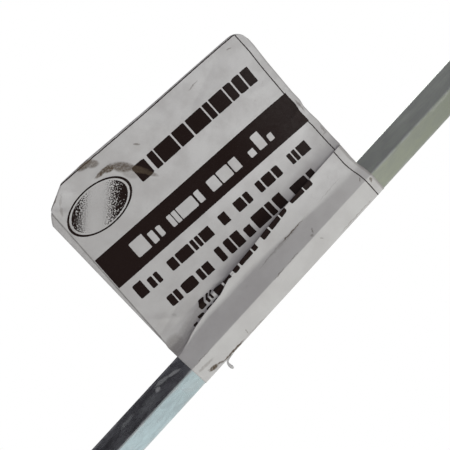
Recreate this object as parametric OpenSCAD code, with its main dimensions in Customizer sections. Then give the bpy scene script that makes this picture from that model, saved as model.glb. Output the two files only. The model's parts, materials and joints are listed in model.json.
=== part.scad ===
// Mortar mixing paddle: a round cage head on a hexagonal shank, for thin mixes such as
// gypsum and self-levelling floor compound. Bent round bar and hexagonal bar, welded and
// zinc plated, with a paper label folded round the shank so that it stands out as a flag.
//
// Millimetres. The origin is on the shaft's axis at the foot of the head, and +Z runs up
// the shaft to the end that the drill holds. The flag stands out towards -X.

/* [Shaft] */
// Length of the whole paddle, from the foot of the head to the end of the shank
paddle_len = 540; // [400:10:700]
// Width of the hexagonal bar across its flats
shaft_af = 10; // [8:1:14]
// How much the rounding takes off each of the bar's six edges
edge_trim = 0.1; // [0.05:0.05:0.3]
// Chamfer turned on the shank's end
shank_chamfer = 1.2; // [0.5:0.1:2]
// Chamfer on the end at the foot
foot_chamfer = 0.4; // [0.2:0.1:0.6]

/* [Cage head] */
// Outside diameter of the rings
head_d = 100; // [80:5:140]
// Height of the head
head_h = 140; // [100:10:200]
// Diameter of the round bar in the rings and side rods
bar_d = 6; // [5:0.5:8]
// Radius of the side rods' bends, to the middle of the bar
bend_r = 9; // [8:1:14]
// How deep the side rods are set into the rings
rod_set = 0.5; // [0.3:0.1:0.8]
// Gap between a ring's two ends, which the seam weld fills
seam_gap = 1.6; // [1:0.2:3]

/* [Weld beads] */
// Radius of the beads that join the side rods to the shaft
hub_bead_r = 4.5; // [4.2:0.1:4.7]
// Radius of the beads that join the side rods to the rings
crossing_bead_r = 4; // [3.8:0.1:4.5]
// Radius of the beads that close the rings
seam_bead_r = 3.5; // [3.3:0.1:3.8]
// Width of those beads along the ring
seam_bead_w = 4; // [3.5:0.5:6]

/* [Paper label] */
// Height of the label's middle on the shaft
label_z = 340; // [250:5:420]
// Width of the label along the shaft
label_w = 70; // [50:1:90]
// How far the flag stands out at its end nearer the head
flag_low_reach = 59; // [50:1:65]
// How far the flag stands out at its end nearer the shank's end
flag_high_reach = 51; // [40:1:65]
// How far the flag leans towards the shank's end
flag_lean = 4.6; // [0:0.1:8]
// Length that the bent corner takes off the flag's outer edge
flag_clip = 9; // [4:1:12]
// Thickness of the flag, two layers of paper with the creases between them
flag_t = 0.6; // [0.4:0.1:1]

/* [Hidden] */
$fn = 144;
slack = 1;
bar_r = bar_d / 2;
corner_r = shaft_af / sqrt(3);
edge_r = corner_r - edge_trim;
ring_r = head_d / 2 - bar_r;
rod_r = ring_r - bar_d + rod_set;
low_bend_z = bar_r + bend_r;
high_bend_z = head_h - low_bend_z;
rod_count = 3;
rod_step = 360 / rod_count;
ring_margin = low_bend_z + bar_r;
ring_count = 3;
ring_z = [for (j = [0:ring_count - 1]) ring_margin + j * (head_h - 2 * ring_margin) / (ring_count - 1)];
seam_angle = 2 * asin(seam_gap / 2 / ring_r);
seam_bead_angle = 2 * asin(seam_bead_w / 2 / ring_r);
hub_bead_out = 0.5;
floor_gap = 0.3;
label_gap = 0.1;
label_ply = 0.3;
flag_y = -0.6;
label_inner_af = shaft_af + 2 * label_gap;
label_outer_af = label_inner_af + 2 * label_ply;
zinc = [0.72, 0.75, 0.76];
weld_grey = [0.6, 0.62, 0.62];
paper_grey = [0.75, 0.74, 0.73];

// Angle of side rod i about the shaft, where each one meets a flat of the hexagon
function rod_angle(i) = rod_step * (i - 1);

// Angle of ring j's seam, midway between two side rods
function seam_at(j) = rod_step * (j - 1) + rod_step / 2;

// Hexagonal prism with two flats facing +X and -X
module hexagon(af, h) {
    rotate([0, 0, 30])
        cylinder(r = af / sqrt(3), h = h, $fn = 6);
}

// Hexagonal bar with its edges rounded and both ends chamfered
module shaft() {
    color(zinc)
        intersection() {
            hexagon(shaft_af, paddle_len);
            rotate_extrude()
                polygon([
                    [0, 0],
                    [edge_r - foot_chamfer, 0],
                    [edge_r, foot_chamfer],
                    [edge_r, paddle_len - shank_chamfer],
                    [edge_r - shank_chamfer, paddle_len],
                    [0, paddle_len]
                ]);
        }
}

// Straight leg of a side rod along +X at height z, from x0 to the bend
module leg(z, x0 = shaft_af / 2) {
    translate([x0, 0, z])
        rotate([0, 90, 0])
            cylinder(r = bar_r, h = rod_r - bend_r - x0);
}

// Quarter bend of a side rod, its centre at height z and its arc beginning at angle from
module bend(z, from) {
    translate([rod_r - bend_r, 0, z])
        rotate([90, 0, 0])
            rotate_extrude(angle = 90, start = from)
                translate([bend_r, 0])
                    circle(r = bar_r);
}

// Upright stretch of a side rod from height z0 to z1
module upright(z0, z1) {
    translate([rod_r, 0, z0])
        cylinder(r = bar_r, h = z1 - z0);
}

// C-shaped side rod i
module side_rod(i) {
    color(zinc)
        rotate([0, 0, rod_angle(i)])
            union() {
                leg(bar_r);
                bend(low_bend_z, -90);
                upright(low_bend_z, high_bend_z);
                bend(high_bend_z, 0);
                leg(head_h - bar_r);
            }
}

// Round bar bent to ring j, open by gap degrees at its seam
module ring_bar(j, gap) {
    translate([0, 0, ring_z[j - 1]])
        rotate_extrude(angle = 360 - gap, start = seam_at(j) + gap / 2)
            translate([ring_r, 0])
                circle(r = bar_r);
}

// Ring j, notched where the side rods are set into it
module ring(j) {
    color(zinc)
        difference() {
            ring_bar(j, seam_angle);
            for (i = [1:rod_count])
                rotate([0, 0, rod_angle(i)])
                    upright(ring_z[j - 1] - bar_d, ring_z[j - 1] + bar_d);
        }
}

// Bead round the leg of side rod i where it meets the shaft at height z
module hub_weld(i, z) {
    color(weld_grey)
        rotate([0, 0, rod_angle(i)])
            difference() {
                translate([shaft_af / 2 + hub_bead_out, 0, z])
                    sphere(r = hub_bead_r);
                leg(z, 0);
                hexagon(shaft_af, paddle_len);
                translate([-slack, -hub_bead_r - slack, floor_gap - hub_bead_r])
                    cube([2 * hub_bead_r + shaft_af, 2 * (hub_bead_r + slack), hub_bead_r]);
            }
}

// Bead in the corners where side rod i crosses ring j
module crossing_weld(i, j) {
    color(weld_grey)
        difference() {
            rotate([0, 0, rod_angle(i)])
                translate([rod_r + bar_r - rod_set / 2, 0, ring_z[j - 1]])
                    sphere(r = crossing_bead_r);
            rotate([0, 0, rod_angle(i)])
                upright(ring_z[j - 1] - bar_d, ring_z[j - 1] + bar_d);
            ring_bar(j, seam_angle);
        }
}

// Bead that fills the gap between ring j's ends and stands a little proud of the bar
module ring_seam_weld(j) {
    color(weld_grey)
        difference() {
            translate([0, 0, ring_z[j - 1]])
                rotate_extrude(angle = seam_bead_angle, start = seam_at(j) - seam_bead_angle / 2)
                    translate([ring_r, 0])
                        circle(r = seam_bead_r);
            ring_bar(j, seam_angle);
        }
}

// Outline of the flag, x along the shaft and y out from it, with one corner bent away
module flag_outline() {
    low_x = -label_w / 2;
    high_x = label_w / 2;
    shift = tan(flag_lean);
    polygon([
        [low_x, 0],
        [high_x, 0],
        [high_x + shift * flag_high_reach, flag_high_reach],
        [low_x + shift * flag_low_reach + flag_clip, flag_low_reach - flag_clip / 8],
        [low_x + shift * flag_low_reach, flag_low_reach - flag_clip * 0.6]
    ]);
}

// Sleeve of paper round the shaft, and the flag where its two ends are stuck together
module paper_label() {
    color(paper_grey)
        translate([0, 0, label_z])
            difference() {
                union() {
                    translate([0, 0, -label_w / 2])
                        hexagon(label_outer_af, label_w);
                    translate([0, flag_y + flag_t / 2, 0])
                        rotate([90, 0, 0])
                            rotate([0, 0, 90])
                                linear_extrude(height = flag_t)
                                    flag_outline();
                }
                translate([0, 0, -label_w / 2 - slack])
                    hexagon(label_inner_af, label_w + 2 * slack);
            }
}

shaft();
for (i = [1:rod_count])
    side_rod(i);
for (j = [1:ring_count])
    ring(j);
for (i = [1:rod_count])
    hub_weld(i, bar_r);
for (i = [1:rod_count])
    hub_weld(i, head_h - bar_r);
for (i = [1:rod_count], j = [1:ring_count])
    crossing_weld(i, j);
for (j = [1:ring_count])
    ring_seam_weld(j);
paper_label();
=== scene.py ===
"""Looks of the mortar mixing paddle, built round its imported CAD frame.

The shaft, side rods and rings are the CAD's own solids with zinc-plate materials. The weld
beads are modelled again with their ripples, and the paper label is one folded sheet with a
pleat beside the shaft, cut corners and a torn shred. Lengths in the constants are millimetres
in the CAD's own frame, and MM turns them into Blender's metres.
"""

import json
import math

import bmesh
import bpy
from mathutils import Matrix, Vector, noise


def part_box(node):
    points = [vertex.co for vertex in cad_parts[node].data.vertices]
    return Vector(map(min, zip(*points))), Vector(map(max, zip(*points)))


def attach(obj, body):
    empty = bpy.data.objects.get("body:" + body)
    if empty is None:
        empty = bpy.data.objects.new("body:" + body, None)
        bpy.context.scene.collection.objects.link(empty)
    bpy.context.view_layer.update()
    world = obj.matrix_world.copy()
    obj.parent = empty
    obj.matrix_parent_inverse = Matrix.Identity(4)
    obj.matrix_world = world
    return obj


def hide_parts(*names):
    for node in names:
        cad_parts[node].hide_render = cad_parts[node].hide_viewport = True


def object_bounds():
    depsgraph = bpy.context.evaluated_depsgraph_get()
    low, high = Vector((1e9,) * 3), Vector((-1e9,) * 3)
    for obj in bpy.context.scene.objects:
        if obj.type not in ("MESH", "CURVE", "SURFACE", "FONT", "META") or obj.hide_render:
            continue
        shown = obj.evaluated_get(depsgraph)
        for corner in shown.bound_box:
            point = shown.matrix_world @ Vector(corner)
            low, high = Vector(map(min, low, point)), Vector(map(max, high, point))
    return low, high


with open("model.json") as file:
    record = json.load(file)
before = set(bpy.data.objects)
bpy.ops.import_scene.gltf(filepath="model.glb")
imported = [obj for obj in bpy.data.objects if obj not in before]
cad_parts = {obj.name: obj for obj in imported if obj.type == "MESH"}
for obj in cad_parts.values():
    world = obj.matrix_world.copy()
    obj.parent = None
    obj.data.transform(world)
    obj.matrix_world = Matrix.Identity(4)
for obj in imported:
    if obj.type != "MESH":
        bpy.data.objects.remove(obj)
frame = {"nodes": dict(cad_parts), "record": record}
cad_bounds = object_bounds()
nodes = frame["nodes"]

MM = 0.001

# The shaft, from the frame
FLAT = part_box("shaft")[1].x / MM
CORNER = FLAT / math.cos(math.radians(30))
EDGE_Q = FLAT * math.tan(math.radians(30))

# The label, on the shaft. P is measured out from the shaft's axis towards -X and Q from it
# towards -Y, and X along the shaft from the middle of the label
LABEL_W = 70.0
LABEL_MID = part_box("paper_label")[0].z / MM + LABEL_W / 2


# --------------------------------------------------------------------------- small helpers


def smooth(low, high, value):
    """0 below low, 1 above high, with no corner at either end."""
    t = min(1.0, max(0.0, (value - low) / (high - low)))
    return t * t * (3 - 2 * t)


def along(stops, x):
    """Value at x on the line through stops, a list of (x, value)."""
    if x <= stops[0][0]:
        return stops[0][1]
    for (x0, v0), (x1, v1) in zip(stops, stops[1:]):
        if x <= x1:
            return v0 + (v1 - v0) * (x - x0) / (x1 - x0)
    return stops[-1][1]


def new_object(name, mesh, material=None):
    """Links a mesh to the scene as an object."""
    piece = bpy.data.objects.new(name, mesh)
    bpy.context.scene.collection.objects.link(piece)
    if material:
        mesh.materials.append(material)
    return piece


class Graph:
    """Adds shader nodes to a tree, and joins them in short calls."""

    def __init__(self, tree):
        self.tree = tree
        tree.nodes.clear()

    def add(self, kind, inputs=None, **settings):
        node = self.tree.nodes.new("ShaderNode" + kind)
        for key, value in settings.items():
            setattr(node, key, value)
        for key, value in (inputs or {}).items():
            self.feed(node.inputs[key], value)
        return node

    def feed(self, socket, value):
        if isinstance(value, bpy.types.NodeSocket):
            self.tree.links.new(value, socket)
        else:
            socket.default_value = value

    def math(self, operation, *values):
        node = self.add("Math", operation=operation)
        for socket, value in zip(node.inputs, values):
            self.feed(socket, value)
        return node.outputs[0]

    def any_of(self, masks):
        """The largest of several masks."""
        total = masks[0]
        for mask in masks[1:]:
            total = self.math("MAXIMUM", total, mask)
        return total

    def mix(self, factor, a, b, blend="MIX"):
        node = self.add("Mix", data_type="RGBA", blend_type=blend)
        for key, value in ((0, factor), (6, a), (7, b)):
            self.feed(node.inputs[key], value)
        return node.outputs[2]

    def noise(self, vector, scale, detail=2.0, roughness=0.5, distortion=0.0):
        inputs = {
            "Vector": vector,
            "Scale": scale,
            "Detail": detail,
            "Roughness": roughness,
            "Distortion": distortion,
        }
        return self.add("TexNoise", inputs).outputs["Fac"]

    def stretch(self, vector, x, y, z):
        """vector with each axis scaled, for streaks."""
        return self.add("Mapping", {"Vector": vector, "Scale": (x, y, z)}).outputs[0]

    def spread(self, value, low, high, to_low=0.0, to_high=1.0):
        """value from low to high, turned into to_low to to_high."""
        inputs = {0: value, 1: low, 2: high, 3: to_low, 4: to_high}
        return self.add("MapRange", inputs, interpolation_type="SMOOTHSTEP").outputs[0]

    def bump(self, height, strength, distance):
        inputs = {"Height": height, "Strength": strength, "Distance": distance}
        return self.add("Bump", inputs).outputs[0]

    def surface(self, **inputs):
        """Principled shader; a name's underscores stand for spaces."""
        shader = self.add("BsdfPrincipled", {k.replace("_", " "): v for k, v in inputs.items()})
        output = self.add("OutputMaterial")
        self.tree.links.new(shader.outputs[0], output.inputs["Surface"])


def new_material(name):
    material = bpy.data.materials.new(name)
    material.use_nodes = True
    return material, Graph(material.node_tree)


# --------------------------------------------------------------------------- materials


def soft_blot(g, x, out, spot):
    """A soft blot, one row of the shaft's dust table or of the label's table of dirt and painted shade, at
    X and P.
    """
    cx, cp, half_a, half_b, slant, strength = spot
    turn = math.radians(slant)
    dx = g.math("SUBTRACT", x, cx)
    dp = g.math("SUBTRACT", out, cp)
    lengthwise = g.math(
        "ADD", g.math("MULTIPLY", dx, math.cos(turn)), g.math("MULTIPLY", dp, math.sin(turn))
    )
    crosswise = g.math(
        "SUBTRACT", g.math("MULTIPLY", dp, math.cos(turn)), g.math("MULTIPLY", dx, math.sin(turn))
    )
    u = g.math("DIVIDE", lengthwise, half_a)
    v = g.math("DIVIDE", crosswise, half_b)
    reach = g.math("ADD", g.math("MULTIPLY", u, u), g.math("MULTIPLY", v, v))
    return g.spread(reach, 0.25, 1.0, strength, 0.0)


def blot_field(g, place, drift, spots):
    """Every blot in spots, at a place in the object's own coordinates, with drifting edges."""
    parts = g.add("SeparateXYZ", {0: place}).outputs
    x = g.math("MULTIPLY", g.math("SUBTRACT", parts["Z"], LABEL_MID * MM), 1 / MM)
    out = g.math("MULTIPLY", parts["X"], -1 / MM)
    x, out = g.math("ADD", x, drift), g.math("SUBTRACT", out, drift)
    return g.any_of([soft_blot(g, x, out, spot) for spot in spots])


BLUE_ZINC = (0.51, 0.635, 0.66, 1)
PLAIN_ZINC = (0.60, 0.62, 0.60, 1)
YELLOW_ZINC = (0.63, 0.66, 0.52, 1)
# Copies of the blue and the yellow for the bar's flag side, tinted to how its shaded facet looks: painted
# shade
SHADED_FACET_BLUE_ZINC = (0.50, 0.56, 0.53, 1)
SHADED_FACET_YELLOW_ZINC = (0.66, 0.77, 0.60, 1)
DULL_ZINC = (0.36, 0.38, 0.38, 1)
RUBBED_ZINC = (0.74, 0.76, 0.74, 1)
DUST = (0.40, 0.40, 0.40, 1)
# How far in from the hexagon's sharp corners the rubbed edges start, and are at their fullest
RUBBED_FROM, RUBBED_FULL = 0.3, 0.13

# Wiped dust on the front of the shaft: each blot's middle (X, P), half length, half width, slant
# in degrees and strength
SMEARS = [
    (-44.6, 3.0, 1.0, 0.75, 0, 0.75),
    (-42.2, 3.7, 2.6, 0.5, -6, 0.5),
    (-38.7, 2.9, 2.6, 0.45, -16, 0.65),
    (-41.5, -0.4, 2.2, 0.35, -8, 0.4),
    (-39.5, -2.4, 2.4, 0.3, -48, 0.3),
    (-38.0, -2.7, 3.0, 1.9, -25, 0.2),
    (-48.5, 2.4, 4.0, 1.6, 0, 0.1),
    (-56.0, 3.2, 3.0, 0.5, 4, 0.25),
    (52.0, 3.6, 4.0, 0.6, -3, 0.2),
    (61.0, -0.6, 5.0, 0.3, 2, 0.3),
]
# How far the blots' edges drift with the mottle
SMEAR_DRIFT = 1.8


def zinc_tint(g, place):
    """Bright zinc's colour: patches that lean to blue or to yellow, as passivated plate does."""
    drift = g.noise(g.stretch(place, 3, 3, 9), 1.0, 1.0)
    base = g.mix(g.spread(drift, 0.42, 0.58), BLUE_ZINC, YELLOW_ZINC)
    return g.mix(0.35, base, PLAIN_ZINC)


def shaft_tint(g, place, height, beside):
    """Blue at the head's end and yellow at the shank's end, drifting in patches. On the flag's side of the
    bar both give way to copies tinted to how its shaded facet looks: painted shade."""
    wander = g.noise(g.stretch(place, 30, 30, 14), 1.0, 2.0)
    patch = g.noise(g.stretch(place, 170, 170, 55), 1.0, 3.0, 0.6)
    drift = g.math("ADD", g.math("MULTIPLY", wander, 0.03), g.math("MULTIPLY", patch, 0.04))
    drifting = g.math("SUBTRACT", g.math("ADD", height, drift), 0.02)
    label_z = LABEL_MID * MM
    far = g.spread(drifting, label_z - 0.03, label_z + 0.04)
    # Painted shade: the flag's side of the bar, whose facet faces away from the light, gets its own tints
    shaded_facet_side = g.spread(beside, 0.0003, -0.0003)
    lower = g.mix(shaded_facet_side, BLUE_ZINC, SHADED_FACET_BLUE_ZINC)
    upper = g.mix(shaded_facet_side, YELLOW_ZINC, SHADED_FACET_YELLOW_ZINC)
    return g.mix(far, lower, upper)


def shaft_material():
    """Drawn hexagonal bar: mottled plate, faint die lines, rubbed edges and wiped dust."""
    material, g = new_material("zinc_drawn_bar")
    place = g.add("TexCoord").outputs["Object"]
    parts = g.add("SeparateXYZ", {0: place}).outputs
    tint = shaft_tint(g, place, parts["Z"], parts["X"])
    lines = g.noise(g.stretch(place, 2200, 2200, 45), 1.0, 4.0, 0.6)
    mottle = g.noise(g.stretch(place, 420, 420, 150), 1.0, 5.0, 0.62, 0.5)
    marks = g.noise(g.stretch(place, 700, 700, 260), 1.0, 5.0, 0.65, 1.2)
    beside = g.math("MULTIPLY", parts["X"], parts["X"])
    before = g.math("MULTIPLY", parts["Y"], parts["Y"])
    from_axis = g.math("SQRT", g.math("ADD", beside, before))
    edge = g.spread(from_axis, (CORNER - RUBBED_FROM) * MM, (CORNER - RUBBED_FULL) * MM)
    rubbed = g.math("MULTIPLY", edge, g.spread(marks, 0.4, 0.6))

    colour = g.mix(g.spread(mottle, 0.3, 0.72, 0.0, 0.3), tint, DULL_ZINC)
    colour = g.mix(g.spread(lines, 0.35, 0.75, 0.0, 0.1), colour, DULL_ZINC)
    colour = g.mix(g.spread(marks, 0.6, 0.68, 0.0, 0.3), colour, PLAIN_ZINC)
    colour = g.mix(g.math("MULTIPLY", rubbed, 0.5), colour, RUBBED_ZINC)
    drift = g.math("MULTIPLY", g.math("SUBTRACT", mottle, 0.5), SMEAR_DRIFT)
    dusty = g.math("MULTIPLY", blot_field(g, place, drift, SMEARS), g.math("LESS_THAN", parts["Y"], 0.0))
    colour = g.mix(dusty, colour, DUST)

    rough = g.math("ADD", g.spread(mottle, 0.3, 0.7, 0.20, 0.32), g.math("MULTIPLY", rubbed, 0.12))
    label_z = LABEL_MID * MM
    duller = g.spread(parts["Z"], label_z - 0.03, label_z + 0.05, 0.0, 0.09)
    rough = g.math("ADD", rough, duller)
    relief = g.math("ADD", g.math("MULTIPLY", lines, 0.35), g.math("MULTIPLY", mottle, 0.65))
    g.surface(
        Base_Color=colour,
        Metallic=g.math("SUBTRACT", 1.0, g.math("MULTIPLY", dusty, 0.7)),
        Roughness=rough,
        Normal=g.bump(relief, 0.25, 0.00008),
    )
    return material


def bar_material():
    """Round bar: bright zinc with bending marks and duller patches."""
    material, g = new_material("zinc_round_bar")
    place = g.add("TexCoord").outputs["Object"]
    tint = zinc_tint(g, place)
    patches = g.noise(place, 90.0, 4.0, 0.6)
    grain = g.noise(place, 900.0, 3.0, 0.6)
    colour = g.mix(g.spread(patches, 0.45, 0.7, 0.0, 0.45), tint, DULL_ZINC)
    relief = g.math("ADD", g.math("MULTIPLY", patches, 0.5), g.math("MULTIPLY", grain, 0.5))
    g.surface(
        Base_Color=colour,
        Metallic=1.0,
        Roughness=g.spread(patches, 0.3, 0.7, 0.26, 0.44),
        Normal=g.bump(relief, 0.4, 0.0001),
    )
    return material


def bead_material():
    """Plated weld metal, duller in patches, with spatter-sized grain."""
    material, g = new_material("zinc_weld_bead")
    place = g.add("TexCoord").outputs["Object"]
    tint = zinc_tint(g, place)
    grain = g.noise(place, 700.0, 4.0, 0.65)
    colour = g.mix(g.spread(grain, 0.35, 0.7, 0.15, 0.75), tint, DULL_ZINC)
    g.surface(
        Base_Color=colour,
        Metallic=1.0,
        Roughness=g.spread(grain, 0.3, 0.7, 0.34, 0.52),
        Normal=g.bump(grain, 0.5, 0.0002),
    )
    return material


# --------------------------------------------------------------------------- the label's print

PAPER = (0.505, 0.503, 0.480, 1)
# Lighter paper painted where more light falls: painted light
PAINTED_LIGHT_PAPER = (0.60, 0.60, 0.578, 1)
PAPER_SHADE = (0.43, 0.42, 0.402, 1)
INK = (0.014, 0.0075, 0.006, 1)
# Brown of the dirt, also used for the painted shade
DIRT_AND_SHADE_TONE = (0.09, 0.068, 0.046, 1)
STAINED = (0.36, 0.34, 0.32, 1)
# How far down the sheet its front half goes
FRONT_ENDS = 52.0
# How far down it the middle of the pleat's front is
PLEAT_FRONT = 31.5

# Across (from the band's near end) and down (from the band's top) on the flat sheet
BAND = (0.0, 68.0, 0.0, 9.8)
# The frame line: where its top line starts, how far down that is, and where its side line is and
# ends
FRAME_START, FRAME_TOP = -2.0, -20.6
FRAME_SIDE, FRAME_FOOT = 67.6, 130.0
LINE_HALF_T = 0.15
# How much nearer the outer edge the top line runs at its near end
LINE_RISE = 0.4
# How far the print's edges waver
WOBBLE = 0.16
# Each row of marks is (foot, [(from, to, height, how many) of each group])
TALL, SHORT = 4.2, 3.15
BAND_TALL, BAND_SHORT, BAND_LOW = 4.6, 3.5, 2.0
MARK_ROWS = [
    (-7.1, [(23.0, 64.5, 4.9, 9)]),
    (
        15.9,
        [
            (2.2, 5.6, TALL, 1),
            (6.4, 10.4, SHORT, 2),
            (13.4, 28.6, SHORT, 5),
            (31.4, 34.4, SHORT, 1),
            (37.0, 63.2, SHORT, 8),
        ],
    ),
    (
        22.9,
        [
            (6.4, 22.4, SHORT, 5),
            (25.0, 33.6, TALL, 3),
            (34.4, 37.2, SHORT, 1),
            (38.0, 48.6, TALL, 3),
            (51.0, 59.4, SHORT, 2),
        ],
    ),
    (28.8, [(13.1, 18.2, 2.8, 3)]),
    (29.9, [(18.8, 35.6, SHORT, 5), (37.6, 47.8, TALL, 3), (49.6, 57.8, SHORT, 2)]),
    (31.3, [(8.6, 10.4, 1.1, 1)]),
    (30.2, [(11.0, 18.6, 0.9, 3)]),
]
BAND_ROW = (
    7.3,
    [
        (9.0, 13.9, BAND_TALL, 1),
        (14.7, 33.0, BAND_SHORT, 5),
        (35.4, 46.0, BAND_SHORT, 3),
        (48.9, 51.2, BAND_LOW, 1),
        (52.0, 55.0, BAND_TALL, 1),
        (55.8, 57.8, BAND_LOW, 1),
    ],
)
# The gap between two blocks, the radius of their corners, and how uneven their widths are
MARK_GAP = 0.75
MARK_ROUND = 0.4
MARK_UNEVEN = 1.6
# The emblem's middle (across, down) and its half length and half height
EMBLEM = (10.5, -9.9, 10.4, 5.9)
# Its outline's middle and half width, and how far in from it the dots begin, as shares of its size
OUTLINE, OUTLINE_HALF_T = 0.955, 0.035
DOTS_REACH = 0.86


def box_mask(g, across, down, box):
    """1 inside box, (from, to) across and (from, to) down."""
    a0, a1, b0, b1 = box
    inside = g.math("COMPARE", across, (a0 + a1) / 2, (a1 - a0) / 2)
    return g.math("MULTIPLY", inside, g.math("COMPARE", down, (b0 + b1) / 2, (b1 - b0) / 2))


def rounded_block(g, across, down, half_a, half_b):
    """1 inside a block with rounded corners, by the distances from its middle."""
    squares = []
    for distance, half in ((across, half_a), (down, half_b)):
        over = g.math("SUBTRACT", g.math("ABSOLUTE", distance), half - MARK_ROUND)
        over = g.math("MAXIMUM", over, 0.0)
        squares.append(g.math("MULTIPLY", over, over))
    return g.math("LESS_THAN", g.math("ADD", *squares), MARK_ROUND**2)


def row_of_marks(g, across, down, row):
    """A row of plain blocks of uneven width, in groups, where a line of print was."""
    foot, groups = row
    inputs = {"W": g.math("ADD", across, foot * 7), "Scale": 0.2, "Detail": 0.0}
    drift = g.add("TexNoise", inputs, noise_dimensions="1D").outputs["Fac"]
    uneven = g.math("MULTIPLY", g.math("SUBTRACT", drift, 0.5), MARK_UNEVEN)
    masks = []
    for start, end, tall, count in groups:
        pitch = (end + MARK_GAP - start) / count
        place = g.math("DIVIDE", g.math("SUBTRACT", across, start), pitch)
        from_end = g.math("MINIMUM", place, g.math("SUBTRACT", float(count), place))
        shift = g.math("MULTIPLY", uneven, g.math("MINIMUM", from_end, 1.0))
        from_gap = g.math("PINGPONG", g.math("ADD", place, shift), 0.5)
        from_middle = g.math("MULTIPLY", g.math("SUBTRACT", 0.5, from_gap), pitch)
        from_mid_line = g.math("SUBTRACT", down, foot - tall / 2)
        block = rounded_block(g, from_middle, from_mid_line, (pitch - MARK_GAP) / 2, tall / 2)
        group = box_mask(g, across, down, (start, end, foot - tall, foot))
        masks.append(g.math("MULTIPLY", block, group))
    return g.any_of(masks)


def emblem(g, across, down):
    """A plain oval, outlined, and shaded in dots from both ends towards its middle."""
    middle_a, middle_b, half_a, half_b = EMBLEM
    aside = g.math("SUBTRACT", across, middle_a)
    below = g.math("SUBTRACT", down, middle_b)
    u, v = g.math("DIVIDE", aside, half_a), g.math("DIVIDE", below, half_b)
    reach = g.math("SQRT", g.math("ADD", g.math("MULTIPLY", u, u), g.math("MULTIPLY", v, v)))
    ring = g.math("COMPARE", reach, OUTLINE, OUTLINE_HALF_T)
    middle = g.math("LESS_THAN", reach, DOTS_REACH)
    slant = g.math("ADD", aside, below)
    shade = g.spread(g.math("ABSOLUTE", g.math("ADD", slant, 1.0)), 0.5, 12.0)
    inputs = {"Vector": g.add("CombineXYZ", {0: across, 1: down}).outputs[0], "Scale": 2.7}
    dots = g.add("TexVoronoi", inputs, voronoi_dimensions="2D").outputs["Distance"]
    dotted = g.math("LESS_THAN", dots, g.math("ADD", 0.1, g.math("MULTIPLY", shade, 0.8)))
    return g.any_of([ring, g.math("MULTIPLY", middle, dotted)])


# Dirt on the label's front, and painted shade, in the same terms as SMEARS. The line along the crease is
# part dirt, part painted shadow; round the pleat's left end, in the diagonal band below the top blots and
# under the cut corner's edge the blots are painted shade
DIRT_AND_SHADE_SPOTS = [
    (-14.4, 57.2, 3.0, 1.1, -12, 0.9),
    (-12.9, 56.1, 2.2, 1.3, -38, 0.74),
    (-12.2, 52.6, 3.4, 0.75, -5, 1.0),
    # Painted shadow under the cut corner's edge
    (-27.3, 56.4, 2.7, 0.16, 19, 0.8),
    (-31.3, 53.0, 0.9, 0.35, 70, 0.4),
    # A diagonal band of painted fold shadow, tinted brown like the dirt
    (-10.6, 51.8, 2.3, 1.0, -16, 1.0),
    (-8.0, 49.6, 3.6, 1.7, -52, 0.88),
    (-6.0, 46.8, 5.2, 1.15, -60, 0.78),
    (-4.2, 43.0, 2.6, 0.7, -62, 0.6),
    (-8.0, 47.0, 3.0, 1.3, -62, 0.3),
    (-1.0, 51.0, 1.1, 0.35, -50, 0.6),
    (20.5, 50.6, 2.2, 0.22, 2, 0.5),
    (34.0, 50.2, 0.9, 0.25, -20, 0.45),
    (-30.6, -3.85, 1.8, 0.62, -6, 1.0),
    (-24.0, -4.74, 5.0, 0.3, -1, 1.0),
    (-28.4, -4.3, 1.6, 0.3, -22, 0.8),
    (-31.6, -3.6, 0.9, 0.25, -40, 0.5),
    (-31.5, -1.9, 3.2, 0.5, -3, 0.35),
    (-15.0, -4.85, 5.0, 0.12, 0, 0.4),
    (24.0, -4.6, 7.5, 0.13, 0, 0.45),
    (-17.8, -3.9, 0.8, 0.18, 75, 0.6),
    (13.2, 1.4, 0.9, 0.35, 60, 0.55),
    (12.2, 0.6, 0.5, 0.4, 20, 0.45),
    (13.5, -1.8, 0.7, 0.18, -50, 0.55),
    (31.6, 1.2, 0.8, 0.22, 32, 0.75),
    (33.6, -0.9, 0.9, 0.4, 60, 0.8),
    (-1.0, 0.15, 2.6, 0.16, 3, 0.6),
    (4.5, 0.3, 2.4, 0.13, 2, 0.55),
    (-31.0, 0.1, 4.0, 0.12, 1, 0.5),
    # Along the crease: part dirt, part painted shadow where the paper meets the facet
    (9.5, 5.12, 5.2, 0.2, 1, 0.95),
    (7.0, 5.0, 9.0, 0.5, 1, 0.22),
    (1.5, 4.95, 6.0, 0.14, 2, 0.4),
    (24.0, 5.35, 5.0, 0.12, 2, 0.25),
    (35.3, 17.6, 1.6, 0.35, 82, 0.5),
    (35.7, 26.2, 2.4, 0.35, 84, 0.55),
    (34.8, 16.4, 1.0, 0.25, 8, 0.4),
    (34.6, 19.5, 2.0, 5.0, 0, 0.06),
    (36.9, 31.5, 2.0, 0.3, 80, 0.15),
    (38.4, 41.0, 4.0, 0.3, 80, 0.25),
    (34.3, 7.0, 2.2, 0.3, 88, 0.4),
    (33.6, -2.0, 1.4, 2.0, 0, 0.08),
    (-27.6, 53.4, 1.6, 0.4, 50, 0.35),
    (-25.6, 55.6, 2.2, 0.3, 35, 0.25),
    (-28.8, 49.0, 3.0, 0.3, 80, 0.2),
    (-27.4, 13.0, 0.9, 0.5, -60, 0.25),
    # Painted shade round the pleat's left end and under its rim, with some stain
    (-29.5, 7.4, 7.0, 2.2, 17, 0.22),
    (-33.4, 7.4, 4.5, 3.0, 10, 0.38),
    (-30.0, 13.5, 5.5, 3.5, 0, 0.08),
    (-26.0, 11.8, 8.0, 1.8, 6, 0.08),
    (-24.0, 8.6, 5.5, 1.2, 12, 0.2),
]
DIRT_AND_SHADE_DRIFT = 0.9
# Strength of the dirt on the sheet's cut sides
RIM_DIRT = 0.35


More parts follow.
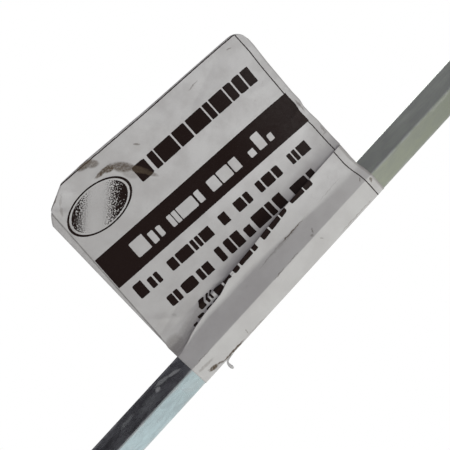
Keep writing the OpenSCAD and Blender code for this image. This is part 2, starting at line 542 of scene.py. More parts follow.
def ink_mask(g, sheet, across, down):
    """The ink: frame line, band, emblem and rows of marks, with wavering edges and specks."""
    wobble = g.math("MULTIPLY", g.math("SUBTRACT", g.noise(sheet, 1.6, 2.0), 0.5), WOBBLE)
    across_w = g.math("ADD", across, wobble)
    down_w = g.math("ADD", down, wobble)
    light_marks = row_of_marks(g, across_w, down_w, BAND_ROW)
    band = box_mask(g, across_w, down_w, BAND)
    band = g.math("MULTIPLY", band, g.math("SUBTRACT", 1.0, light_marks))
    level = g.math("ADD", down_w, g.spread(across, 38.0, 8.0, 0.0, LINE_RISE))
    top = (FRAME_START, FRAME_SIDE, FRAME_TOP - LINE_HALF_T, FRAME_TOP + LINE_HALF_T)
    side = (FRAME_SIDE - LINE_HALF_T, FRAME_SIDE + LINE_HALF_T, FRAME_TOP, FRAME_FOOT)
    lines = [box_mask(g, across, level, top), box_mask(g, across_w, down, side)]
    rows = [row_of_marks(g, across_w, down_w, row) for row in MARK_ROWS]
    ink = g.any_of([band, emblem(g, across_w, down_w)] + lines + rows)
    speckle = g.spread(g.noise(sheet, 5.0, 2.0, 0.7), 0.25, 0.42, 0.93, 1.0)
    worn = g.math("MULTIPLY", g.spread(across, 44.0, 68.0, 0.0, 0.05), g.noise(sheet, 0.8, 4.0, 0.7))
    return g.math("MULTIPLY", ink, g.math("SUBTRACT", speckle, worn))


def painted_light_mask(g, across, down):
    """Where the paper is painted lighter, as painted light where more light falls: the flag's far end, the
    pleat's front and the near corner.
    """
    from_pleat = g.math("ABSOLUTE", g.math("SUBTRACT", down, PLEAT_FRONT))
    places = (
        (g.spread(across, 4.0, 52.0), g.spread(down, 25.0, 9.0)),
        (g.spread(across, 38.0, 62.0), g.spread(from_pleat, 4.5, 1.5, 0.0, 0.8)),
        (g.spread(across, 10.0, 6.0), g.spread(down, -15.0, -18.0)),
    )
    return g.any_of([g.math("MULTIPLY", *place) for place in places])


def dirt_and_shade_mask(g, sheet, across, down):
    """Dirt and painted shade on the sheet's front half, broken up, and a worn rim along its two cut sides.
    """
    drift = g.math("MULTIPLY", g.math("SUBTRACT", g.noise(sheet, 0.9, 3.0, 0.6), 0.5), DIRT_AND_SHADE_DRIFT)
    dirt_and_shade = blot_field(g, g.add("TexCoord").outputs["Object"], drift, DIRT_AND_SHADE_SPOTS)
    front = g.math("LESS_THAN", down, FRONT_ENDS)
    broken = g.spread(g.noise(sheet, 1.7, 4.0, 0.7), 0.32, 0.6, 0.62, 1.0)
    dirt_and_shade = g.math("MULTIPLY", g.math("MULTIPLY", dirt_and_shade, front), broken)
    near_rim = g.spread(across, 0.1, -0.35)
    far_rim = g.spread(across, LABEL_W - 0.8, LABEL_W - 0.35)
    return g.any_of([dirt_and_shade, g.math("MULTIPLY", g.any_of([near_rim, far_rim]), RIM_DIRT)])


def paper_material():
    """Matt label paper with the frame line, band and rows of marks, soiled by handling, with painted light
    and painted shade on it.
    """
    material, g = new_material("label_paper_printed")
    sheet = g.add("Attribute", attribute_name="sheet_mm").outputs["Vector"]
    parts = g.add("SeparateXYZ", {0: sheet}).outputs
    across, down = parts["X"], parts["Y"]
    mottle = g.noise(sheet, 0.12, 4.0, 0.6)
    fibre = g.noise(sheet, 3.2, 3.0, 0.7)
    stain = g.noise(g.stretch(sheet, 0.45, 0.8, 1), 1.0, 5.0, 0.7, 0.6)
    # Painted light: lighter paper at the flag's far end, the pleat's front and the near corner
    colour = g.mix(painted_light_mask(g, across, down), PAPER, PAINTED_LIGHT_PAPER)
    colour = g.mix(g.spread(mottle, 0.35, 0.7, 0.0, 0.6), colour, PAPER_SHADE)
    colour = g.mix(g.spread(fibre, 0.35, 0.65, 0.0, 0.14), colour, PAPER_SHADE)
    colour = g.mix(g.spread(stain, 0.6, 0.8, 0.0, 0.5), colour, STAINED)
    colour = g.mix(ink_mask(g, sheet, across, down), colour, INK)
    # Dirt, with painted shade along the crease, round the pleat's left end and under folds
    colour = g.mix(dirt_and_shade_mask(g, sheet, across, down), colour, DIRT_AND_SHADE_TONE)
    relief = g.math("ADD", g.math("MULTIPLY", fibre, 0.4), g.math("MULTIPLY", mottle, 0.6))
    g.surface(
        Base_Color=colour,
        Roughness=g.spread(mottle, 0.3, 0.7, 0.55, 0.7),
        Specular_IOR_Level=0.12,
        Normal=g.bump(relief, 0.25, 0.0003),
    )
    return material


def plain_paper_material():
    """The sticky inside of the sheet and the torn shred: the same paper with nothing printed."""
    material, g = new_material("label_paper_plain")
    place = g.add("TexCoord").outputs["Object"]
    mottle = g.noise(place, 160.0, 4.0, 0.6)
    fibre = g.noise(place, 2400.0, 3.0, 0.7)
    colour = g.mix(g.spread(mottle, 0.3, 0.7, 0.0, 0.9), PAPER, PAPER_SHADE)
    g.surface(
        Base_Color=colour,
        Roughness=0.7,
        Normal=g.bump(fibre, 0.3, 0.0002),
    )
    return material


# --------------------------------------------------------------------------- the folded sheet

PAPER_T = 0.1
# Half the distance between the flag's two layers
PLY_GAP = 0.12
# Gap between the paper and the bar that it is stuck on
STUCK_GAP = 0.015
# How the flag's two layers lean towards the shank's end, and how far out they start to
LEAN = math.tan(math.radians(5.8))
LEAN_BACK = math.tan(math.radians(3.5))
LEAN_FROM = 4.7
# The paper just past the upper valley leans less, and the pleat hardly at all
VALLEY_LEAN = LEAN * 0.8
PLEAT_LEAN = LEAN * 0.1
# How far out the flag's outer edge is at its near end, and how much less at its far end
TOP_LOW = 59.4
TOP_FALL = 7.25
# How far the outer edge bows out from a straight line, by the way along the shaft
TOP_BOW = [(0.1, 0.0), (0.2, 0.27), (0.35, 0.14), (0.5, 0.0), (0.9, -0.06), (1.0, -0.15)]
CORNER_R = 3.8
NEAR_CORNER_R = 1.0
# How much less the back layer stands out
BACK_SHORTER = 1.3
# What the back layer's cut corner takes off it, by the way from its near edge
BACK_CLIP = [(0.0, 1.8), (0.5, 1.1), (1.8, 0.1), (2.4, 0.0)]
# Both layers' cut near corner: its width and its drop
CLIP_W = 7.2
CLIP_DROP = 3.85
COLUMNS = 168
CORNER_STEPS = 6
# Least and greatest length of a rounded corner's side, as shares of its radius and of the line
LEAST_REACH = 0.25
MOST_REACH = 0.45

# The pleat, as (X, value) stops. From the flag, the paper dips into the upper valley, comes
# forward over the upper rim, dips into the lower valley and goes over the lower rim to the
# shaft. The R tables are the radii of the four bends. Towards the head's end the upper pair
# opens out into one slope.
UPPER_VALLEY_P = [
    (-35, 10.4), (-26, 10.9), (-20, 10.9), (-17, 10.5), (-15, 10.0), (-13, 9.1), (-11, 8.8), (-5, 8.6),
    (5, 8.5), (15, 7.9), (35, 7.7),
]
UPPER_VALLEY_Q = [
    (-35, 0.15), (-20, 0.2), (-14, 0.75), (-12, 1.3), (-8, 1.9), (0, 2.3), (10, 2.7), (20, 3.3), (35, 4.0),
]
UPPER_VALLEY_R = [(-35, 3.0), (-20, 1.4), (-15, 0.5), (-12, 0.2)]
UPPER_RIM_P = [
    (-35, 7.8), (-30, 7.7), (-26, 9.1), (-20, 9.2), (-17, 9.5), (-14, 9.75), (-11, 9.7), (-8, 9.85),
    (-5, 10.05), (0, 10.35), (5, 10.8), (14, 11.2), (23, 11.25), (35, 11.5),
]
UPPER_RIM_Q = [
    (-35, 0.7), (-30, 0.85), (-26, 0.75), (-20, 1.2), (-17, 1.8), (-14, 2.4), (-11, 2.8), (-5, 3.1),
    (10, 3.8), (20, 4.6), (35, 5.3),
]
UPPER_RIM_R = [(-35, 2.0), (-22, 2.0), (-16, 1.0), (-13, 0.5), (-10, 0.3)]
LOWER_VALLEY_P = [
    (-35, 6.0), (-32.5, 5.8), (-30, 5.4), (-26, 6.3), (-20, 6.7), (-16, 6.5), (-13.5, 7.3),
    (-11.5, 8.3), (-10, 9.1), (-8, 9.35), (-4, 9.4), (35, 10.2),
]
LOWER_VALLEY_Q = [
    (-35, 2.05), (-32.5, 2.25), (-30, 2.4), (-26, 1.9), (-20, 1.8), (-16, 2.0), (-13.5, 2.5), (-8, 3.0),
    (10, 3.6), (20, 4.3), (35, 5.1),
]
LOWER_VALLEY_R = [(-35, 1.5), (-31, 0.3), (-28, 0.15), (-13, 0.15), (-9, 2.5)]
LOWER_RIM_P = [
    (-35, 5.12), (-32.5, 5.2), (-30, 5.85), (-28, 6.5), (-26, 7.0), (-22, 7.6), (-18, 7.8),
    (-15.5, 7.95), (-14, 8.4), (-12.5, 8.8), (-10.5, 9.1), (-8, 8.9), (-4, 8.2), (35, 8.2),
]
LOWER_RIM_Q = [
    (-35, 2.75), (-32.5, 2.85), (-30, 2.85), (-26, 2.6), (-20, 2.6), (-14, 3.0), (-8, 3.0), (0, 3.0),
    (10, 3.45), (20, 4.1), (35, 4.9),
]
LOWER_RIM_R = [(-16, 0.3), (-12, 0.5), (-6, 3.5)]
# Where the paper comes down on the shaft's facet, and how far off the facet it is there
CREASE_P = [
    (-35, 4.8), (-31, 5.1), (-28, 5.8), (-22, 6.3), (-5, 6.3), (2, 6.0), (7, 5.5), (11, 5.2), (16, 4.9),
    (21, 4.5), (27, 4.15), (35, 4.0),
]
CREASE_LIFT = [(-35, 0.14), (-15, 0.18), (-5, 0.3), (5, 0.5), (15, 0.8), (25, 1.1), (35, 1.2)]
CREASE_R = [(-35, 3.0), (-28, 2.2), (-5, 2.2), (5, 1.5), (14, 1.5), (22, 2.5), (35, 3.0)]
# How far the flag bows forward along the shaft, and where it is taken, out from the axis, so that
# both layers bow alike although they lean apart
FLAG_Q = [(-7, 0.0), (3, 0.2), (38, 2.8)]
FLAG_AT = 30.0
# The flag's front layer as it nears the pleat: how far from the upper rim it starts to come
# forward, and where it passes behind that rim
FLAG_BEND = [(-35, 12.0), (-16, 8.0), (-12, 5.8), (-5, 6.4), (0, 7.2), (10, 7.8), (20, 8.2), (35, 8.4)]
BEHIND_P = [
    (-35, 13.0), (-20, 13.0), (-16, 11.8), (-14, 10.6), (-12, 9.8), (-10, 9.5), (-5, 9.8), (0, 10.1),
    (5, 10.5), (14, 10.9), (35, 11.2),
]
BEHIND_Q = [
    (-35, 0.11), (-20, 0.13), (-16, 0.45), (-14, 1.0), (-12, 1.6), (-10, 2.0), (-5, 2.5), (0, 2.8),
    (5, 3.1), (10, 3.35), (20, 4.1), (35, 4.8),
]
BEHIND_R = [(-35, 8.0), (-18, 5.0), (-14, 1.0), (-12, 0.4)]
# The bend's middle: its share of the way out, and of the flag's height over the rim's
BEND_OUT, BEND_UP = 0.35, 0.7
# The back layer where it leaves the shaft, out from the flat, and where it reaches the flag's plane
BACK_LEAVES, BACK_LEAVES_Q, BACK_LEAVES_BOW = 5.5, -0.9, 0.35
BACK_MEETS = 13.0
# The flag's far edge, out from the shaft: how far it strays from a straight line
FAR_EDGE = [
    (5, -1.1), (10.9, -1.0), (11.6, -0.72), (14, -0.7), (20, -0.67), (23, -1.0), (25.5, -1.15),
    (27.2, -0.77), (30, -0.92), (36, -0.8), (41, -0.65), (46, -0.36), (52, -0.45),
]
# The same for the far edge past the pleat
PLEAT_EDGE = [(0, 0.0), (2, 0.0), (5, -0.3), (7, -0.2), (9, 0.0), (11, 0.15)]
# How much wider the flag is than the sleeve at the far end, how much more for each millimetre out,
# and how much the whole far edge is drawn in
FLAG_WIDER = 0.4
FLAG_FLARE = 0.008
FAR_INSET = 0.35
# From where along the sheet, as a share of its width, its far edge strays
FAR_SIDE = 0.7
# How far the whole sheet sits towards the shank's end
SHEET_SHIFT = 0.1
# How far the print is out of line with the flag's, by lean: on the shaft, and on the pleat
SKEW = [(0, 0.33), (PLEAT_LEAN, 0.55), (LEAN, 0.0)]
# The flag's far end is twisted forward, and the whole flag is uneven, by these amounts
TWIST = math.tan(math.radians(1.0))
SLOW_BOW, QUICK_BOW, EDGE_BOW = 0.9, 0.22, 0.5
# The line of the print on the flag that its rows are set out from: how far out from the axis it
# is, and how far down the sheet it is at the near end, and how much less at the far end
MARK_P = 20.0
MARK_DOWN = 18.28
MARK_DOWN_FALL = 6.95
# Soft creases in the flag: from (X, P) to (X, P), height and half width. A height below 0 is a
# crease that goes in
FOLDS = [
    (-10.0, 52.6, -3.6, 42.0, 0.28, 0.9),
    (-16.0, 53.3, -9.6, 52.3, 0.22, 0.8),
    (-17.5, 58.5, -11.5, 55.0, -0.25, 1.0),
    (-13.6, 58.0, -11.8, 54.9, 0.2, 0.7),
    (-30.0, 55.5, -24.5, 50.0, 0.22, 1.2),
    (-30.5, 47.0, -26.0, 55.5, -0.2, 1.1),
    (-24.0, 58.5, -21.0, 53.0, 0.16, 1.1),
    (-33.0, 17.0, -25.0, 10.0, 0.25, 1.8),
    (-34.0, 12.0, -22.0, 15.0, -0.2, 1.8),
    (38.0, 26.5, 31.0, 25.0, 0.25, 1.0),
    (37.0, 23.5, 30.0, 20.0, -0.2, 1.0),
    (38.5, 35.0, 28.0, 38.0, 0.1, 1.6),
    (2.0, 56.0, 9.0, 47.5, 0.12, 1.3),
    (16.0, 47.0, 30.0, 51.0, -0.14, 1.8),
]


def corner_drop(radius, from_end):
    """What a rounded corner takes off an edge, from_end away from the corner's side."""
    if from_end >= radius:
        return 0.0
    return radius - math.sqrt(radius**2 - (radius - from_end) ** 2)


def top_reach(s, back):
    """How far the flag's outer edge stands from the axis, s of the way along the shaft."""
    from_low, from_high = s * LABEL_W, (1 - s) * LABEL_W
    reach = TOP_LOW - TOP_FALL * s + along(TOP_BOW, s) - corner_drop(CORNER_R, from_high)
    if from_low < CLIP_W:
        reach -= CLIP_DROP * (1 - from_low / CLIP_W)
    if back:
        return reach - BACK_SHORTER - along(BACK_CLIP, from_low)
    return reach - corner_drop(NEAR_CORNER_R, from_low)


def place_along(s, p, lean):
    """Position along the shaft of the point of column s that is p from the axis."""
    flag = smooth(0.0, LEAN, lean)
    out = max(0.0, p - LEAN_FROM)
    far_side = smooth(FAR_SIDE, 1.0, s)
    x = (s - 0.5) * LABEL_W + SHEET_SHIFT + lean * out
    on_flag = flag * (FLAG_WIDER + along(FAR_EDGE, p) + FLAG_FLARE * out)
    on_pleat = (1 - flag) * along(PLEAT_EDGE, p)
    return x + far_side * (on_flag + on_pleat - FAR_INSET)


def fold_height(x, p, fold):
    """Height at (x, p) of one soft crease, a row of FOLDS."""
    x0, p0, x1, p1, height, half = fold
    length = math.hypot(x1 - x0, p1 - p0)
    way_x, way_p = (x1 - x0) / length, (p1 - p0) / length
    aside = abs((x - x0) * way_p - (p - p0) * way_x)
    if aside >= half:
        return 0.0
    ahead = (x - x0) * way_x + (p - p0) * way_p
    ends = smooth(-half, half, ahead) * smooth(length + half, length - half, ahead)
    return height * ends * (1 - aside / half) ** 1.4


def ripple(x, p):
    """How far the whole flag bows out of its plane."""
    if p < 8:
        return 0.0
    slow = noise.noise(Vector((x * 0.028, p * 0.03, 3.7)))
    quick = noise.noise(Vector((x * 0.10, p * 0.12, 8.2)))
    edge = smooth(20, 52, p) * noise.noise(Vector((x * 0.07, 1.3, 5.1)))
    twist = TWIST * smooth(-25, 35, x) * max(0.0, p - 12)
    bow = SLOW_BOW * slow + QUICK_BOW * quick + EDGE_BOW * edge + twist
    folds = sum(fold_height(x, p, fold) for fold in FOLDS)
    return smooth(9, 24, p) * bow + smooth(8, 14, p) * folds


def fillet(stops):
    """Points along the line through stops, each (point, corner radius, steps to the next,
    lean), with its corners rounded. Each comes with the lean that holds there."""
    made = []
    start = stops[0][0]
    for before, here, after in zip(stops, stops[1:], stops[2:]):
        corner, radius = here[:2]
        to_before = before[0] - corner
        to_after = after[0] - corner
        half = to_before.angle(to_after, math.pi) / 2
        limit = MOST_REACH * min(to_before.length, to_after.length)
        reach = min(max(radius / max(math.tan(half), 0.6), LEAST_REACH * radius), limit)
        enter = corner + to_before.normalized() * reach if to_before.length else corner.copy()
        leave = corner + to_after.normalized() * reach if to_after.length else corner.copy()
        for k in range(before[2]):
            t = k / before[2]
            made.append((start.lerp(enter, t), before[3] + (here[3] - before[3]) * t))
        for k in range(CORNER_STEPS):
            t = k / CORNER_STEPS
            made.append((enter.lerp(corner, t).lerp(corner.lerp(leave, t), t), here[3]))
        start = leave
    before, last = stops[-2:]
    for k in range(before[2] + 1):
        t = k / before[2]
        made.append((start.lerp(last[0], t), before[3] + (last[3] - before[3]) * t))
    return made


def front_stops(s, x):
    """Stops of column s, at x, from the flag's front outer edge through the pleat."""
    flag_q = along(FLAG_Q, x + LEAN * FLAG_AT) + PLY_GAP
    behind_p, behind_q = along(BEHIND_P, x), along(BEHIND_Q, x)
    bend = along(FLAG_BEND, x)
    bend_q = BEND_UP * flag_q + (1 - BEND_UP) * behind_q
    upper_valley = (along(UPPER_VALLEY_P, x), along(UPPER_VALLEY_Q, x))
    upper_rim = (along(UPPER_RIM_P, x), along(UPPER_RIM_Q, x))
    lower_valley = (along(LOWER_VALLEY_P, x), along(LOWER_VALLEY_Q, x))
    lower_rim = (along(LOWER_RIM_P, x), along(LOWER_RIM_Q, x))
    return [
        ((top_reach(s, False), flag_q), 0, 58, LEAN),
        ((behind_p + bend, flag_q), 12, 16, LEAN),
        ((behind_p + BEND_OUT * bend, bend_q), 6, 10, LEAN),
        ((behind_p, behind_q), along(BEHIND_R, x), 5, LEAN),
        (upper_valley, along(UPPER_VALLEY_R, x), 5, VALLEY_LEAN),
        (upper_rim, along(UPPER_RIM_R, x), 4, PLEAT_LEAN),
        (lower_valley, along(LOWER_VALLEY_R, x), 4, PLEAT_LEAN),
        (lower_rim, along(LOWER_RIM_R, x), 7, PLEAT_LEAN),
    ]


def shaft_stops(x):
    """Stops of the column at x from the pleat's crease round the shaft."""
    crease_p = along(CREASE_P, x)
    crease_q = CORNER - crease_p * math.tan(math.radians(30)) + along(CREASE_LIFT, x)
    skin = PAPER_T / 2 + STUCK_GAP
    side, side_q = FLAT + skin, EDGE_Q + skin * 0.6
    return [
        ((crease_p, crease_q), along(CREASE_R, x), 9, 0),
        ((0, CORNER + skin), 0.35, 6, 0),
        ((-side, side_q), 0.4, 4, 0),
        ((-side, -side_q), 0.4, 6, 0),
        ((0, -CORNER - skin), 0.4, 6, 0),
        ((side + 0.05, -side_q), 0.7, 6, LEAN_BACK),
    ]


def back_stops(s, x):
    """Stops of column s, at x, from the shaft to the back layer's outer edge."""
    back_q = along(FLAG_Q, x + LEAN_BACK * FLAG_AT)
    return [
        ((FLAT + BACK_LEAVES, back_q * BACK_LEAVES_BOW + BACK_LEAVES_Q), 4, 6, LEAN_BACK),
        ((FLAT + BACK_MEETS, back_q - PLY_GAP), 10, 48, LEAN_BACK),
        ((top_reach(s, True), back_q - PLY_GAP), 0, 0, LEAN_BACK),
    ]


def section(s):
    """Cross-section of the sheet at column s, from the front layer's outer edge round the
    shaft to the back layer's, as points (P, Q) with the lean at each."""
    x = (s - 0.5) * LABEL_W
    stops = front_stops(s, x) + shaft_stops(x) + back_stops(s, x)
    return fillet([(Vector(stop[0]),) + stop[1:] for stop in stops])


def sheet_column(s):
    """Points of column s, each with its (across, down) on the flat sheet."""
    points = section(s)
    placed = []
    for (p, q), lean in points:
        x = place_along(s, p, lean)
        placed.append(Vector((x, p, q + ripple(x, p))))
    lengths = [0.0]
    for a, b in zip(placed, placed[1:]):
        lengths.append(lengths[-1] + (b - a).length)
    above = next(i for i, point in enumerate(placed) if point.y < MARK_P) - 1
    step = (placed[above].y - MARK_P) / (placed[above].y - placed[above + 1].y)
    at_mark = lengths[above] + step * (lengths[above + 1] - lengths[above])
    offset = MARK_DOWN - MARK_DOWN_FALL * s - at_mark
    edge = s * LABEL_W - FAR_INSET
    flat = [(edge + along(SKEW, lean), offset + down) for (_, lean), down in zip(points, lengths)]
    return zip(placed, flat)


def in_frame(point):
    """A point (X, P, Q) of the label, in Blender's metres."""
    return (-point.y * MM, -point.z * MM, (LABEL_MID + point.x) * MM)


def strip_faces(grid, rows):
    """Joins rows of vertices, each to the next, with smooth faces."""
    for near, far in zip(rows, rows[1:]):
        for i in range(len(near) - 1):
            grid.faces.new((near[i], near[i + 1], far[i + 1], far[i])).smooth = True


def label_sheet(material, inside):
    """The folded sheet as a grid of columns along the shaft and rows along the paper."""
    mesh = bpy.data.meshes.new("label_sheet")
    grid = bmesh.new()
    spot = grid.verts.layers.float_vector.new("sheet_mm")
    rows = []
    for column in range(COLUMNS + 1):
        made = []
        for point, (across, down) in sheet_column(column / COLUMNS):
            vert = grid.verts.new(in_frame(point))
            vert[spot] = Vector((across, down, 0))
            made.append(vert)
        rows.append(made)
    strip_faces(grid, rows)
    grid.normal_update()
    grid.to_mesh(mesh)
    grid.free()
    piece = new_object("label_sheet", mesh, material)
    mesh.materials.append(inside)
    thicken(piece)
    return piece


def thicken(piece):
    """Gives a sheet the paper's thickness, with its second material inside."""
    thick = piece.modifiers.new("thickness", "SOLIDIFY")
    thick.thickness = PAPER_T * MM
    thick.offset = 0
    thick.material_offset = 1
    thick.material_offset_rim = 1


# A shred torn out of the fold: its middle (X, P), Q and width at stops down its length
SHRED = [
    (-23.6, -4.96, 2.86, 0.10), (-24.8, -5.10, 2.92, 0.22), (-26.0, -5.22, 3.00, 0.30),
    (-26.9, -5.42, 3.08, 0.42), (-27.25, -5.95, 3.20, 0.58), (-27.3, -6.6, 3.34, 0.82),
    (-27.25, -7.2, 3.40, 0.92), (-27.2, -7.65, 3.36, 0.60), (-27.2, -7.8, 3.34, 0.24),
]
SHRED_STEPS = 5
# How far its sides curl out, as a share of its width
SHRED_CURL = 0.16


def shred_spine():
    """Points down the shred, (place, width), with more between the stops."""
    spine = []
    for one, two in zip(SHRED, SHRED[1:]):
        for k in range(SHRED_STEPS):
            mixed = [a + (b - a) * k / SHRED_STEPS for a, b in zip(one, two)]
            spine.append((Vector(mixed[:3]), mixed[3]))
    spine.append((Vector(SHRED[-1][:3]), SHRED[-1][3]))
    return spine


def label_shred(material, inside):
    """The hanging shred, a narrow strip that curls along its length."""
    mesh = bpy.data.meshes.new("label_shred")
    strip = bmesh.new()
    spine = shred_spine()
    rows = []
    for i, (middle, width) in enumerate(spine):
        ahead = spine[min(i + 1, len(spine) - 1)][0] - spine[max(i - 1, 0)][0]
        aside = Vector((-ahead.y, ahead.x, 0)).normalized()
        row = []
        for k in range(-2, 3):
            curl = SHRED_CURL * (k / 2) ** 2 * width
            spot = middle + aside * (width * k / 4) + Vector((0, 0, curl))
            row.append(strip.verts.new(in_frame(spot)))
        rows.append(row)
    strip_faces(strip, rows)
    strip.to_mesh(mesh)
    strip.free()
    piece = new_object("label_shred", mesh, material)
    mesh.materials.append(inside)
    thicken(piece)
    return piece


# --------------------------------------------------------------------------- weld beads


ROD_COUNT = 3
RING_COUNT = 3
# Radius of the round bar
BAR_R = 3.0
# Half length and half width of the beads
HUB_BEAD = (3.6, 4.5)
CROSSING_BEAD = (4.1, 3.5)
SEAM_BEAD = (2.6, 3.45)
# How far the hub beads' middles are from the axis, and the crossing beads' from the rods' outside
HUB_BEAD_OUT = 5.7
CROSSING_BEAD_IN = 0.25
# How many ripples each kind has
HUB_RIPPLES, CROSSING_RIPPLES, SEAM_RIPPLES = 11, 9, 8
BEAD_ROWS = 26
BEAD_SIDES = 44
# Depths of the ripples, lumps and pits, as shares of the bead's size
RIPPLE_DEPTH = 0.085
LUMP_DEPTH = 0.07
PIT_DEPTH = 0.012
# No part of a bead is lower than this
BEAD_FLOOR = 0.12


def bead_mesh(name, size, ripples, seed):
    """A lump of weld metal round its own Z axis, with the ripples that a weld pool leaves.

    size is its half length along Z and its half width, in millimetres."""
    along_z, across = size
    mesh = bpy.data.meshes.new(name)
    lump = bmesh.new()
    bmesh.ops.create_uvsphere(lump, u_segments=BEAD_SIDES, v_segments=BEAD_ROWS, radius=1)
    drift = Vector((seed * 3.17, seed * 1.31, 0))
    for vert in lump.verts:
        out = vert.co.normalized()
        turn = math.atan2(out.y, out.x)
        belly = math.hypot(out.x, out.y)
        # Scales overlap like roof tiles: each rises slowly and drops at once
        sway = 0.35 * noise.noise(out * 1.5 + drift) + 0.25 * out.z**2
        phase = (turn * ripples / math.tau + sway) % 1
        scale = RIPPLE_DEPTH * belly**2 * (phase - 0.5)
        lumps = LUMP_DEPTH * noise.noise(out * 1.7 + drift)
        pits = PIT_DEPTH * noise.noise(out * 9 + drift)
        reach = 1 + scale + lumps + pits
        vert.co = Vector((out.x * across, out.y * across, out.z * along_z)) * reach * MM
    for face in lump.faces:
        face.smooth = True
    lump.to_mesh(mesh)
    lump.free()
    return mesh


def add_bead(node_name, centre, axis, size, ripples, seed, material):
    """A bead in place of the CAD's, centred and turned, and cut off at the floor."""
    name = node_name + "_bead"
    piece = new_object(name, bead_mesh(name, size, ripples, seed), material)
    turn = Vector(axis).to_track_quat("Z", "Y").to_matrix().to_4x4()
    piece.data.transform(Matrix.Translation(Vector(centre) * MM) @ turn)
    for vert in piece.data.vertices:
        vert.co.z = max(vert.co.z, BEAD_FLOOR * MM)
    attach(piece, "root")
    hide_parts(node_name)


def centre_of(node_name):
    """Middle of a CAD node's box, in millimetres."""
    low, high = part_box(node_name)
    return (low + high) / 2 / MM


def add_rod_beads(i, material):
    """The beads of side rod i: on the shaft at both ends, and on every ring."""
    rod_low, rod_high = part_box("side_rod_1")
    angle = math.tau * (i - 1) / ROD_COUNT
    way = Vector((math.cos(angle), math.sin(angle), 0))
    for end, z, seed in (("foot", rod_low.z / MM + BAR_R, 7), ("neck", rod_high.z / MM - BAR_R, 3)):
        centre = way * HUB_BEAD_OUT + Vector((0, 0, z))
        add_bead(f"{end}_weld_{i}", centre, way, HUB_BEAD, HUB_RIPPLES, i + seed, material)
    for j in range(1, RING_COUNT + 1):
        out = rod_high.x / MM - CROSSING_BEAD_IN
        centre = way * out + Vector((0, 0, centre_of(f"ring_{j}").z))
        side = Vector((-way.y, way.x, 0))
        name, seed = f"crossing_weld_{i}_{j}", i * 4 + j
        add_bead(name, centre, side, CROSSING_BEAD, CROSSING_RIPPLES, seed, material)


def add_weld_beads(material):
    """Every bead of the head, at the places that the frame gives."""
    for i in range(1, ROD_COUNT + 1):
        add_rod_beads(i, material)
    ring_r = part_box("ring_1")[1].y / MM - BAR_R
    for j in range(1, RING_COUNT + 1):
        middle = centre_of(f"ring_seam_weld_{j}")
        way = Vector((middle.x, middle.y, 0)).normalized()
        centre = way * ring_r + Vector((0, 0, middle.z))
        side = Vector((-way.y, way.x, 0))
        add_bead(f"ring_seam_weld_{j}", centre, side, SEAM_BEAD, SEAM_RIPPLES, j + 20, material)


# --------------------------------------------------------------------------- stage


FLOOR_R = 1.3
FLOOR_PAINT = (0.82, 0.82, 0.82, 1)
# A little light of the floor's own, which only the camera sees, so that it stays pale
FLOOR_GLOW = (0.25, 0.25, 0.25, 1)
# What the metal mirrors on each side, high up and low down, and what the camera sees behind
LEFT_HIGH, LEFT_LOW = (0.30, 0.268, 0.33, 1), (0.012, 0.008, 0.012, 1)
RIGHT_HIGH, RIGHT_LOW = (0.22, 0.23, 0.24, 1), (0.97, 0.97, 0.97, 1)
BACKDROP = (1.0, 1.0, 1.0, 1)


def pale_floor():
    """Painted floor under the object's foot."""
    at_foot = (0, 0, cad_bounds[0].z)
    bpy.ops.mesh.primitive_circle_add(vertices=96, radius=FLOOR_R, fill_type="NGON", location=at_foot)
    floor = bpy.context.active_object
    floor.name = "floor"
    material, g = new_material("floor_paint")
    seen = g.add("LightPath").outputs["Is Camera Ray"]
    g.surface(
        Base_Color=FLOOR_PAINT,
        Roughness=0.9,
        Emission_Color=FLOOR_GLOW,
        Emission_Strength=seen,
    )
    floor.data.materials.append(material)


def surround():
    """The room that the metal mirrors, white to the camera itself."""
    world = bpy.data.worlds.new("studio")
    bpy.context.scene.world = world
    world.use_nodes = True
    g = Graph(world.node_tree)
    way = g.add("SeparateXYZ", {0: g.add("TexCoord").outputs["Generated"]})
    rise = g.spread(way.outputs["Z"], -0.05, 0.28)
    left = g.mix(rise, LEFT_LOW, LEFT_HIGH)
    right = g.mix(rise, RIGHT_LOW, RIGHT_HIGH)
    room = g.mix(g.spread(way.outputs["X"], -0.7, 0.7), left, right)
    seen = g.add("LightPath").outputs["Is Camera Ray"]
    around = g.mix(seen, room, BACKDROP)
    background = g.add("Background", {"Color": around, "Strength": 1.0})
    output = g.add("OutputWorld")
    g.tree.links.new(background.outputs[0], output.inputs["Surface"])


def studio(target):
    """Pale floor, white surround and two soft boxes, the first of which the metal doesn't mirror."""
    pale_floor()
    surround()
    key = soft_box("key_box", target, azimuth=40, elevation=14, distance=0.9, size=0.5, power=5.2)
    key.visible_glossy = False
    soft_box("back_box", target, azimuth=200, elevation=25, distance=1.2, size=0.8, power=5)


def direction(azimuth, elevation):
    """Way towards a place at azimuth and elevation, in degrees, as the views count them."""
    a, e = math.radians(azimuth), math.radians(elevation)
    return Vector((math.sin(a) * math.cos(e), -math.cos(a) * math.cos(e), math.sin(e)))


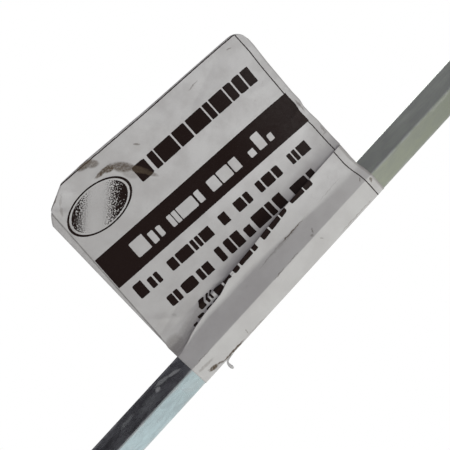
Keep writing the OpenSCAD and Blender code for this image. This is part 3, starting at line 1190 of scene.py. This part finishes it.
def soft_box(name, target, azimuth, elevation, distance, size, power):
    """A square area light that looks at target; size and distance are in metres."""
    away = direction(azimuth, elevation)
    light = bpy.data.lights.new(name, "AREA")
    light.shape = "SQUARE"
    light.size = size
    light.energy = power
    lamp = bpy.data.objects.new(name, light)
    bpy.context.scene.collection.objects.link(lamp)
    lamp.location = target + away * distance
    lamp.rotation_mode = "QUATERNION"
    lamp.rotation_quaternion = away.to_track_quat("Z", "Y")
    return lamp


# The camera: what it looks at, X along the label and P out from the axis, and how much it takes in
# there; how far off and in which direction it stands; and how steeply the shaft rises in view
VIEW_X = -0.85
VIEW_P = 19.3
VIEW_W = 119.2
VIEW_DISTANCE = 400.0
VIEW_AZIMUTH = 1.2
VIEW_ELEVATION = -4.7
SHAFT_SLOPE = 47.25
SENSOR = 36.0


def photo_camera():
    """Close view of the label from the front, rolled so that the shaft runs up to the right."""
    target = Vector((-VIEW_P, 0, LABEL_MID + VIEW_X)) * MM
    back = direction(VIEW_AZIMUTH, VIEW_ELEVATION)
    up_shaft = (Vector((0, 0, 1)) - back * back.z).normalized()
    to_flag = back.cross(up_shaft)
    slope = math.radians(SHAFT_SLOPE)
    right = up_shaft * math.cos(slope) - to_flag * math.sin(slope)
    up = up_shaft * math.sin(slope) + to_flag * math.cos(slope)
    data = bpy.data.cameras.new("photo_camera")
    data.sensor_width = SENSOR
    data.lens = SENSOR * VIEW_DISTANCE / VIEW_W
    camera = bpy.data.objects.new("photo_camera", data)
    bpy.context.scene.collection.objects.link(camera)
    turn = Matrix((right, up, back)).transposed()
    camera.matrix_world = Matrix.Translation(target + back * VIEW_DISTANCE * MM) @ turn.to_4x4()
    bpy.context.scene.camera = camera
    return target


# --------------------------------------------------------------------------- build

target = photo_camera()
studio(target)
bpy.context.scene.view_settings.view_transform = "Standard"

materials = {"zinc_shaft": shaft_material(), "zinc_bar": bar_material(), "weld": bead_material()}
printed, plain = paper_material(), plain_paper_material()
for part in frame["record"]["subparts"]:
    if part["material_slot"] in materials:
        mesh = nodes[part["node"]].data
        mesh.materials.clear()
        mesh.materials.append(materials[part["material_slot"]])

add_weld_beads(materials["weld"])

sheet = label_sheet(printed, plain)
shred = label_shred(plain, plain)
for piece in (sheet, shred):
    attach(piece, "root")
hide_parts("paper_label")
